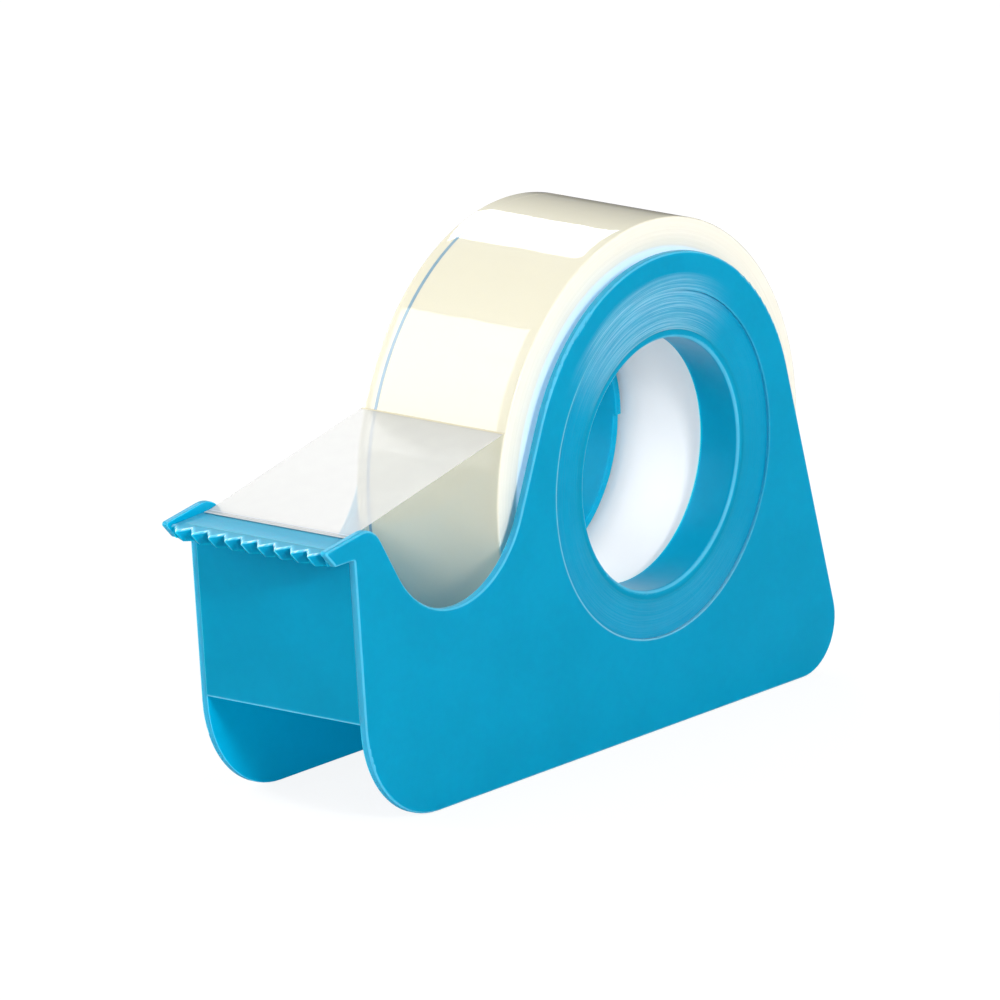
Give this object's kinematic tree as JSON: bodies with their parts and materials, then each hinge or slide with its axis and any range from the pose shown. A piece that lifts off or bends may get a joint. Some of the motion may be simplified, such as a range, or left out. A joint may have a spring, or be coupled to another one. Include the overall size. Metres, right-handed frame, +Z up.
{
  "type": "tape dispenser",
  "caption": "Small open tape dispenser: two side plates with stub hubs hold a roll of clear tape, whose free end lies on a land behind a moulded saw edge.",
  "frame": {"origin": "centre of the footprint, on the surface that the dispenser stands on", "axes": "+X from the saw edge to the back, +Y along the hub axis to the left of someone facing the saw edge, +Z up"},
  "size_m": [0.0898, 0.0222, 0.0558],
  "materials": {
    "housing_plastic": "satin blue polypropylene",
    "core_plastic": "translucent white plastic",
    "wound_tape": "wound clear tape, cream in depth",
    "tape_film": "clear film"
  },
  "bodies": {
    "housing": {"right_side_plate": "housing_plastic", "left_side_plate": "housing_plastic", "right_hub": "housing_plastic", "left_hub": "housing_plastic", "front_wall": "housing_plastic", "cutter_land": "housing_plastic", "saw_edge": "housing_plastic"},
    "roll": {"core": "core_plastic", "tape_roll": "wound_tape"},
    "lead": {"tape_lead": "tape_film"}
  },
  "joints": [
    {"name": "roll_spin", "type": "hinge", "parent": "housing", "child": "roll", "pos_m": [0.0143, 0, 0.0292], "axis": [0, 1, 0], "continuous": true},
    {"name": "lead_lift", "type": "hinge", "parent": "housing", "child": "lead", "pos_m": [-0.01098, 0, 0.0378], "axis": [0, 1, 0], "range_deg": [0, 75]}
  ]
}
